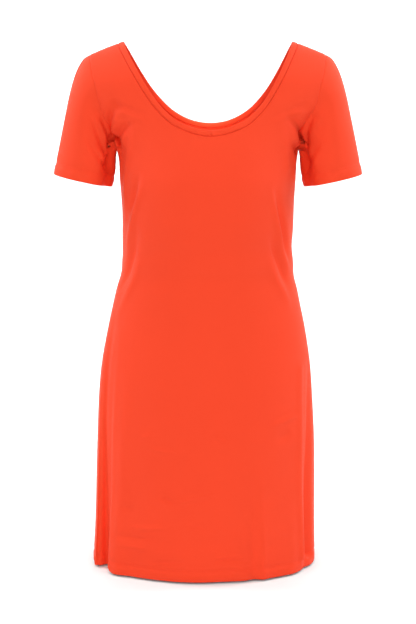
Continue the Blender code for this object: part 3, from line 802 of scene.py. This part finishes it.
def girth_to(places, middle):
    """How far round the body places lie from a panel's middle azimuth, negative before it."""
    share = np.linspace(0.0, 1.0, ROUND_STEPS + 1)[:, None, None]
    azimuth = middle + (places[..., 0] - middle) * share
    points = body_points(np.stack([azimuth, places[..., 1] + 0.0 * share], -1))
    girth = np.linalg.norm(np.diff(points, axis=0), axis=3).sum(0)
    return np.where(places[..., 0] < middle, -girth, girth)


def panel(name, front):
    """A front or a back with its ditches at the seams and its turned-up hem."""
    places = panel_places(front)
    last_row, last_column = places.shape[0] - 1, places.shape[1] - 1
    rows = np.concatenate([[0.0], EXTRA_ROWS, np.arange(1.0, last_row + 1)])
    at_end = last_column - np.array(EXTRA_COLUMNS[::-1])
    columns = np.concatenate([[0.0], EXTRA_COLUMNS, np.arange(1.0, last_column), at_end, [last_column]])
    places = read_off(places, rows, columns)
    hem = np.repeat(places[-1:], len(TURN_UP_LINE), axis=0)
    hem[..., 1] = reach_at(HEM_HEIGHT + TURN_UP_HEIGHTS)[:, None]
    places = np.concatenate([places, hem])
    depth = np.concatenate([np.zeros(len(rows)), TURN_UP_DEPTHS])[:, None]
    outside = depth < HEM_LAYERS / 2.0
    points, outward = body_points(places), body_normals(places)

    across = girth_to(places, 0.0 if front else 180.0)
    edge = float(reach_at(HEM_HEIGHT))
    over_edge = edge - places[..., 1]
    along = edge + np.where(outside, -over_edge, over_edge)
    from_left, from_top = distances(points, 1), distances(points, 0)
    from_right = from_left[:, -1:] - from_left
    beside_binding = np.abs(np.arange(len(columns)) - len(columns) / 2.0) < NECK_STEPS * FINER[-1]
    top_depth = np.where(beside_binding, NECK_DITCH_DEPTH, DITCH_DEPTH)
    lift = seam_relief(from_left, from_top) + seam_relief(from_right, from_top)
    lift += seam_relief(from_top, from_left, top_depth) * outside
    lift += hem_relief(over_edge, across) * np.where(outside, 1.0, INNER_RELIEF)
    points = points + outward * (lift - depth)[..., None]
    return cloth(name, points, np.stack([across, along], -1), outward)


front_jersey = panel("front_jersey", True)
back_jersey = panel("back_jersey", False)
for piece, node in ((front_jersey, "front_panel"), (back_jersey, "back_panel")):
    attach(piece, "root")
    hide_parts(node)

# ----------------------------------------
# The neck binding: a strip of the same jersey, folded lengthwise and sewn round the wide scoop of
# the neck, so that it stands a little proud and rounded. It is drawn on slightly stretched.
BindingPoint = namedtuple("BindingPoint", "from_edge out")
BINDING_SECTION = table(
    BindingPoint,
    (MM, MM),
    (BINDING_WIDTH / MM, -1.6),
    (7.4, -1.9),
    (4.8, -2.1),
    (2.4, -2),
    (1, -1.6),
    (0.2, -1),
    (0, -0.3),
    (0.4, 0.3),
    (1.4, 0.8),
    (2.8, 1),
    (4.5, 1),
    (6.2, 0.8),
    (7.5, 0.4),
    (8.4, -0.2),
    (BINDING_WIDTH / MM, -1.1),
)
BINDING_FINER = 6
PRESSED_REACH = 0.016  # height round a shoulder seam over which the strip lies flatter
PRESSED_SHARE = 0.7  # by how much, at the seam


def binding(name):
    """The folded strip round the neck edge."""
    lines = [beside_neck(point.from_edge, NECK_STEPS * BINDING_FINER) for point in BINDING_SECTION]
    points = closed(np.array([body_points(places) for places in lines]))
    outward = closed(np.array([body_normals(places) for places in lines]))
    from_edge, out = (column[:, None] for column in np.array(BINDING_SECTION).T)
    along = distances(points, 1)
    pressed = PRESSED_SHARE * near(points[..., 2], PRESSED_REACH)
    lift = np.where(out > 0.0, out * (1.0 - pressed), out)
    lift += rippled(along, BINDING_RIPPLES) * (from_edge / BINDING_WIDTH) ** 2
    points = points + outward * lift[..., None]
    return cloth(name, points, np.stack([distances(points, 0), along], -1), outward, ring=True)


neck_binding = binding("neck_binding_jersey")
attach(neck_binding, "root")
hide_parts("neck_binding")

# ----------------------------------------
# The sleeves: short ones of the same jersey, each sewn up under the arm, set into its armhole and
# turned up once at the cuff. They hang close to the body, with drag lines from the underarm and
# a hollow down the side that faces the body.
SLEEVE_LENGTH = 0.15  # along its middle
CUFF_CENTRE = np.array([0.209, 0.000, -0.2245])
CUFF_RADIUS = 0.050
CUFF_GIRTH = 2.0 * math.pi * CUFF_RADIUS
CUFF_TILT = math.radians(12.5)  # outer side up
UNDERARM_LEAN = math.radians(22.0)  # how far its cloth leaves the underarm outwards
LEAVING_PULL = 0.50  # how firmly a sleeve keeps the direction in which it leaves its armhole
HANGING_PULL = 1.25  # and the direction in which it hangs at the cuff
FOLDS_START = 8  # how soon the folds rise below the armhole, as a power
HEM_FLATNESS = 0.55  # how much of the folds a cuff's stiffer hem takes out
HEM_FLATNESS_POWER = 6
UNDERARM_SEAM_SHARE = 0.8  # of another seam's relief
RIPPLES_SHIFT = 0.3  # of each cuff's ripples, so that the two differ
SLEEVE_FINER = 6
SEAM_SHARES = (0.0, 0.004, 0.010)  # of the way down, where the rows beside the armhole are
EVEN_START = 0.018
SLEEVE_ROWS = 54

# Folds with other first columns: in place of an azimuth the share of the way round, 0 outside, 0.25
# in front and 0.5 at the underarm, and of a height the share of the way from armhole to turn-up.
SLEEVE_UNITS = (1.0, 1.0, MM, 1.0, 1.0, MM, MM, MM)
SLEEVE_FOLDS = table(
    Fold,
    SLEEVE_UNITS,
    (0.43, 0.05, -3, 0.33, 0.6, -3, 9),
    (0.38, 0.02, 2, 0.28, 0.3, 2, 8),
    (0.46, 0.45, -2, 0.36, 0.95, -2, 9),
    (0.58, 0.05, -3, 0.68, 0.55, -3, 10),
    (0.62, 0.02, 2, 0.73, 0.3, 2, 9),
)
RIGHT_SLEEVE_CREASES = table(
    Fold,
    SLEEVE_UNITS,
    (0.27, 0.68, -1.2, 0.385, 0.88, -5.5, 4.8, 1),
    (0.26, 0.38, -1, 0.36, 0.62, -5, 5, 1),
    (0.29, 0.08, -2, 0.39, 0.44, -6, 6, 2),
    (0.31, 0.24, 1.2, 0.39, 0.56, 4, 5.5, 2),
    (0.425, 0.2, -12, 0.425, 0.97, -13, 15),
    (0.335, 0.35, 2, 0.345, 0.97, 2.5, 11),
    (0.56, 0.2, -3, 0.69, 0.44, -0.8, 6.4, -2),
    (0.6, 0.5, -4.6, 0.72, 0.74, -0.8, 5.6, -1),
)
LEFT_SLEEVE_CREASES = table(
    Fold,
    SLEEVE_UNITS,
    (0.28, 0.06, -1.6, 0.37, 0.4, -6.4, 6.4, 2),
    (0.34, 0.04, 1.4, 0.39, 0.34, 4.4, 5.2, 1),
    (0.425, 0.15, -12, 0.425, 0.97, -13, 15),
    (0.335, 0.35, 2, 0.345, 0.97, 2.5, 11),
    (0.3, 0.62, -0.8, 0.38, 0.8, -4, 5.5, 1),
    (0.57, 0.16, -3, 0.7, 0.36, -0.6, 6, -2),
    (0.6, 0.56, -4, 0.71, 0.7, -0.8, 6),
)


def sleeve_fold_lift(creases, turn, way, length):
    """How far folds lift a sleeve's cloth, where each line down it has its own length."""
    lift = fold_lift(SLEEVE_FOLDS + creases, turn, way, CUFF_GIRTH, length)
    return lift * (1.0 - (1.0 - way) ** FOLDS_START) * (1.0 - HEM_FLATNESS * way**HEM_FLATNESS_POWER)


def cuff_edge(hand, count):
    """Points round a cuff's edge, from its outer side by the front, with the spokes that lead out
    to them and the way down the sleeve.
    """
    outer_side = np.array([hand * math.cos(CUFF_TILT), 0.0, math.sin(CUFF_TILT)])
    down = np.array([hand * math.sin(CUFF_TILT), 0.0, -math.cos(CUFF_TILT)])
    angle = (2.0 * math.pi * np.arange(count) / count)[:, None]
    spokes = outer_side * np.cos(angle) - np.array([0.0, 1.0, 0.0]) * np.sin(angle)
    return CUFF_CENTRE * (hand, 1.0, 1.0) + spokes * CUFF_RADIUS, spokes, down


def sleeve(name, hand, creases):
    """A sleeve, hand 1 for the wearer's left and -1 for the right."""
    count = ARMHOLE_STEPS * SLEEVE_FINER
    front, back = armhole_half(True, count), armhole_half(False, count)
    if hand < 0:
        front, back = mirrored(front, True), mirrored(back, False)
    places = np.vstack([front, back[-2:0:-1]])
    seam = body_points(places)
    run = unit(np.roll(seam, -1, 0) - np.roll(seam, 1, 0))
    cloth_out = body_normals(places)
    straight_on = unit(np.cross(cloth_out, run)) * hand
    down_arm = (1.0 - np.abs(np.arange(2 * count) / count - 1.0))[:, None] ** 2
    hanging = np.array([hand * math.sin(UNDERARM_LEAN), 0.0, -math.cos(UNDERARM_LEAN)])
    leaving = unit(straight_on * (1.0 - down_arm) + hanging * down_arm)

    cuff, spokes, down = cuff_edge(hand, 2 * count)
    end = cuff - down * TURN_UP
    pull = np.linalg.norm(end - seam, axis=1)[:, None]
    share = np.concatenate([SEAM_SHARES, np.linspace(EVEN_START, 1.0, SLEEVE_ROWS)])
    start_slope, end_slope = leaving * pull * LEAVING_PULL, down * pull * HANGING_PULL
    body = hermite(seam, start_slope, end, end_slope, share[:, None, None])
    points = np.concatenate([body, cuff - down * TURN_UP_HEIGHTS[:, None, None]])
    depth = np.concatenate([np.zeros(len(share)), TURN_UP_DEPTHS])[:, None]
    outside = depth <= HEM_LAYERS / 2.0
    outward = np.cross(np.roll(points, -1, 1) - np.roll(points, 1, 1), np.gradient(points, axis=0)) * hand
    outward[len(share) :] = spokes
    outward[0] = unit(cloth_out + unit(np.cross(run, leaving)) * hand)
    outward = unit(outward)

    way = np.concatenate([share, np.ones(len(TURN_UP_LINE))])
    turn, way = np.meshgrid(np.arange(2 * count) / (2 * count), way)
    from_middle = (turn - 0.5) * CUFF_GIRTH
    from_seam = distances(points, 0)
    over_edge = np.concatenate([(1.0 - share) * SLEEVE_LENGTH + TURN_UP, TURN_UP_HEIGHTS])[:, None]
    hem = hem_relief(over_edge, turn * CUFF_GIRTH + RIPPLES_SHIFT * hand)
    lift = sleeve_fold_lift(creases, turn, way, np.linalg.norm(cuff - seam, axis=1))
    lift += seam_relief(from_seam, distances(points, 1)) * outside
    lift += hem * np.where(outside, 1.0, INNER_RELIEF)
    lift += seam_relief(np.abs(from_middle), from_seam) * UNDERARM_SEAM_SHARE
    points = points + outward * (lift - depth)[..., None]
    flat = closed(np.stack([from_middle, from_seam], -1))
    flat[:, -1, 0] = 0.5 * CUFF_GIRTH
    return cloth(name, closed(points), flat, closed(outward), ring=True)


left_sleeve = sleeve("left_sleeve_jersey", 1, LEFT_SLEEVE_CREASES)
right_sleeve = sleeve("right_sleeve_jersey", -1, RIGHT_SLEEVE_CREASES)
for piece, node in ((left_sleeve, "left_sleeve"), (right_sleeve, "right_sleeve")):
    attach(piece, "root")
    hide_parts(node)

# ----------------------------------------
# The hems' stitching: polyester thread of the same colour, two rows side by side from a
# twin needle, which hold the turn-ups of the skirt and the sleeves.
STITCH_LENGTH = 0.0032
STITCH_GAP = 0.0006
THREAD = 0.00042  # its thickness
THREAD_COLOUR = (0.87, 0.055, 0.018)
TWIST = 0.0005  # size of the thread's bumps
TWIST_DEPTH = 0.00005
STITCH_SINK = 0.00066  # how far the cloth under a stitch is drawn in
STITCH_LIFT = THREAD * 0.15 - STITCH_SINK  # of its middle over the cloth's form
SKIRT_LINE_STEPS = 720
CUFF_LINE_STEPS = 360


def thread_finish():
    """Twisted polyester thread, a little shinier than the jersey."""
    finish = Finish("orange_red_thread")
    shade = finish.noise(0.0008, 1.0)
    bumps = finish.noise(TWIST, 1.0)
    twisted = finish.add("ShaderNodeBump", Height=bumps, Distance=TWIST_DEPTH, Strength=0.5)
    finish.fill(
        finish.shader,
        Base_Color=finish.blend(shade, THREAD_COLOUR, JERSEY_COLOUR),
        Roughness=0.55,
        Specular_IOR_Level=0.3,
        Normal=twisted.outputs[0],
    )
    return finish.material


thread = thread_finish()


def stitches(name, lines):
    """Stitches along closed lines of points with the cloth's outward directions."""
    shape = bmesh.new()
    for points, outward in lines:
        line, out = closed(np.array([points, outward]))
        lengths = distances(line[None], 1)[0]
        count = round(lengths[-1] / (STITCH_LENGTH + STITCH_GAP))
        one = lengths[-1] / count
        for number in range(count):
            ends = (number + np.array([0.0, STITCH_LENGTH / (STITCH_LENGTH + STITCH_GAP)])) * one
            start, end = (Vector([np.interp(at, lengths, line[:, k]) for k in range(3)]) for at in ends)
            up = Vector([np.interp(ends.mean(), lengths, out[:, k]) for k in range(3)]).normalized()
            run = end - start
            side = up.cross(run).normalized()
            place = Matrix((run.normalized(), side, up)).transposed().to_4x4()
            place.translation = (start + end) / 2.0
            scale = Matrix.Diagonal((run.length / 2.0, THREAD / 2.0, THREAD / 2.0, 1.0))
            bmesh.ops.create_icosphere(shape, subdivisions=1, radius=1.0, matrix=place @ scale)
    for face in shape.faces:
        face.smooth = True
    piece = finished(name, shape, thread)
    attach(piece, "root")
    return piece


def skirt_line(height):
    """Points and outward directions round the skirt, at a height over its hem's edge."""
    azimuth = np.linspace(-180.0, 180.0, SKIRT_LINE_STEPS, endpoint=False)
    places = np.stack([azimuth, np.full(len(azimuth), reach_at(HEM_HEIGHT + height))], -1)
    points, outward = body_points(places), body_normals(places)
    return points + outward * STITCH_LIFT, outward


def cuff_line(hand, height):
    """Points and outward directions round a cuff, at a height over its edge."""
    edge, spokes, down = cuff_edge(hand, CUFF_LINE_STEPS)
    creases = LEFT_SLEEVE_CREASES if hand > 0 else RIGHT_SLEEVE_CREASES
    turn = np.arange(CUFF_LINE_STEPS)[:, None] / CUFF_LINE_STEPS
    lift = sleeve_fold_lift(creases, turn, 1.0, SLEEVE_LENGTH)
    return edge - down * height + spokes * (lift + STITCH_LIFT), spokes


stitches("skirt_hem_stitches", [skirt_line(height) for height in STITCH_ROWS])
for hand, name in ((1, "left_cuff_stitches"), (-1, "right_cuff_stitches")):
    stitches(name, [cuff_line(hand, height) for height in STITCH_ROWS])

# ----------------------------------------
# The studio: a pale floor just below the hem that runs up into a pale wall behind, soft light
# from all round with a broad one in front, and the camera at chest height, looking slightly down.
FLOOR_HEIGHT = -0.8855
FLOOR_START = -5.0
WALL_DISTANCE = 2.6
WALL_TOP = 4.0
BACKDROP_HALF_WIDTH = 6.0
SWEEP_RADIUS = 1.0  # of the curve between floor and wall
SWEEP_STEPS = 12
PAPER_COLOUR = (0.83, 0.93, 0.93)
PALER_PAPER_COLOUR = (0.85, 0.95, 0.95)


def studio_finish():
    """Plain white paper."""
    finish = Finish("white_paper")
    colour = finish.blend(finish.noise(0.5, 1.0), PAPER_COLOUR, PALER_PAPER_COLOUR)
    finish.fill(finish.shader, Base_Color=colour, Roughness=0.9)
    return finish.material


def backdrop():
    """A floor that curves up into a wall."""
    profile = [(FLOOR_START, FLOOR_HEIGHT)]
    for k in range(SWEEP_STEPS + 1):
        turn = math.radians(90.0 * k / SWEEP_STEPS)
        along = WALL_DISTANCE - SWEEP_RADIUS + SWEEP_RADIUS * math.sin(turn)
        profile.append((along, FLOOR_HEIGHT + SWEEP_RADIUS - SWEEP_RADIUS * math.cos(turn)))
    profile.append((WALL_DISTANCE, WALL_TOP))
    shape = bmesh.new()
    corners = [shape.verts.new((-BACKDROP_HALF_WIDTH, *point)) for point in profile]
    edges = [shape.edges.new(pair) for pair in zip(corners, corners[1:])]
    other_side = bmesh.ops.extrude_edge_only(shape, edges=edges)["geom"]
    verts = [part for part in other_side if isinstance(part, bmesh.types.BMVert)]
    bmesh.ops.translate(shape, verts=verts, vec=(2.0 * BACKDROP_HALF_WIDTH, 0.0, 0.0))
    for face in shape.faces:
        face.smooth = True
    return finished("backdrop", shape, studio_finish())


backdrop()

MIDDLE = (0.0, 0.0, -0.4)  # of the dress, at which most lamps point
Lamp = namedtuple("Lamp", "name place target size power spread", defaults=(math.pi,))
LAMPS = (
    Lamp("front_lamp", (0.0, -2.9, 1.0), MIDDLE, (1.6, 1.4), 41.0),
    Lamp("left_lamp", (-2.2, -1.5, 0.4), MIDDLE, (0.8, 2.2), 13.5),
    Lamp("right_lamp", (2.2, -1.5, 0.4), MIDDLE, (0.8, 2.2), 15.0),
    Lamp("overhead_lamp", (0.0, -0.6, 2.6), (0.0, -0.6, FLOOR_HEIGHT), (2.6, 2.2), 41.0),
    # a narrow beam into the neck, on the inside of its back edge
    Lamp("neck_lamp", (0.0, -1.0, 0.75), (0.0, 0.09, -0.125), (0.02, 0.02), 0.07, math.radians(9.0)),
    # one on each side for the wall, which the dress's sides catch too
    Lamp("wall_lamp", (-1.9, 0.6, 1.0), (-0.3, WALL_DISTANCE, -0.2), (1.0, 1.6), 56.0),
    Lamp("wall_lamp", (1.9, 0.6, 1.0), (0.3, WALL_DISTANCE, -0.2), (1.0, 1.6), 56.0),
)
for row in LAMPS:
    light = bpy.data.lights.new(row.name, "AREA")
    light.shape = "RECTANGLE"
    light.size, light.size_y = row.size
    light.energy = row.power
    light.spread = row.spread
    lamp = bpy.data.objects.new(row.name, light)
    lamp.location = row.place
    lamp.rotation_euler = (Vector(row.target) - Vector(row.place)).to_track_quat("-Z", "Y").to_euler()
    bpy.context.scene.collection.objects.link(lamp)

world = bpy.data.worlds.new("studio")
bpy.context.scene.world = world
world.use_nodes = True
sky = world.node_tree.nodes["Background"]
sky.inputs["Color"].default_value = (1.0, 1.0, 1.0, 1.0)
sky.inputs["Strength"].default_value = 0.20

bpy.context.scene.view_settings.view_transform = "Standard"

CAMERA_PLACE = (0.0, -2.2, -0.10)
CAMERA_PITCH = math.radians(8.98)  # downwards
SENSOR = 36.0  # in millimetres, across the longer side
LENS = 1310.0 / 624.0 * SENSOR  # from its focal length in pixels of the photo's 624 rows
lens = bpy.data.cameras.new("camera")
lens.lens = LENS
lens.sensor_width = SENSOR
camera = bpy.data.objects.new("camera", lens)
camera.location = CAMERA_PLACE
camera.rotation_euler = (math.pi / 2 - CAMERA_PITCH, 0.0, 0.0)
bpy.context.scene.collection.objects.link(camera)
bpy.context.scene.camera = camera
